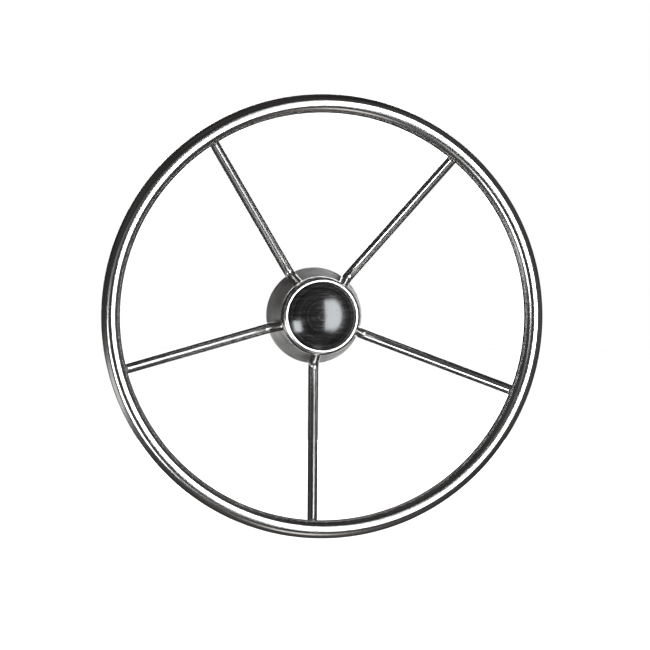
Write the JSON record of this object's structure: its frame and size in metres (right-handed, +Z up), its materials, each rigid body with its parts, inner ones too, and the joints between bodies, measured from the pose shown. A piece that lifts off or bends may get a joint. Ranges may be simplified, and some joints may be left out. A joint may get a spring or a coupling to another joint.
{
  "type": "boat steering wheel",
  "caption": "Dished boat steering wheel: round tube rim on slim rod spokes bent at the hub, conical hub with a domed black cap, on a short flanged helm bearing.",
  "frame": {"origin": "on the turning axis, in the helm flange's back face, where the helm bolts to the dash", "axes": "+Y along the turning axis, out of the back of the helm and into the dash, so the driver is at -Y and the rim's plane is at Y = -90 mm; +Z up, +X to the driver's right"},
  "size_m": [0.3938, 0.1384, 0.394],
  "materials": {
    "polished_stainless": "mirror-polished stainless steel",
    "satin_stainless": "satin-brushed stainless steel, brushed round the axis",
    "machined_steel": "fine turned steel",
    "zinc_plated_steel": "bright zinc-plated steel",
    "black_gloss_plastic": "gloss black moulded plastic with fine circular polishing lines",
    "white_nylon": "natural nylon",
    "black_rubber": "matt black nitrile rubber",
    "bearing_bronze": "turned bearing bronze",
    "cast_aluminium": "die-cast aluminium, fine shot-blasted"
  },
  "bodies": {
    "helm": {"helm_flange": "cast_aluminium", "front_bush": "bearing_bronze", "rear_bush": "bearing_bronze", "shaft_seal": "black_rubber", "mount_screw_1": "zinc_plated_steel", "mount_screw_2": "zinc_plated_steel", "mount_screw_3": "zinc_plated_steel", "mount_screw_4": "zinc_plated_steel"},
    "wheel": {"rim_tube": "polished_stainless", "spoke_1": "polished_stainless", "spoke_2": "polished_stainless", "spoke_3": "polished_stainless", "spoke_4": "polished_stainless", "spoke_5": "polished_stainless", "hub_cup": "polished_stainless", "hub_skirt": "satin_stainless", "hub_core": "machined_steel", "steering_shaft": "machined_steel", "shaft_key": "machined_steel", "shaft_washer": "zinc_plated_steel", "shaft_nut": "zinc_plated_steel", "nut_insert": "white_nylon", "shaft_circlip": "zinc_plated_steel"},
    "cap": {"centre_cap": "black_gloss_plastic", "cap_o_ring": "black_rubber"}
  },
  "joints": [
    {"name": "wheel_turn", "type": "hinge", "parent": "helm", "child": "wheel", "pos_m": [0, 0, 0], "axis": [0, 1, 0], "continuous": true},
    {"name": "cap_pull", "type": "slide", "parent": "wheel", "child": "cap", "axis": [0, -1, 0], "range_m": [0, 0.03]}
  ]
}
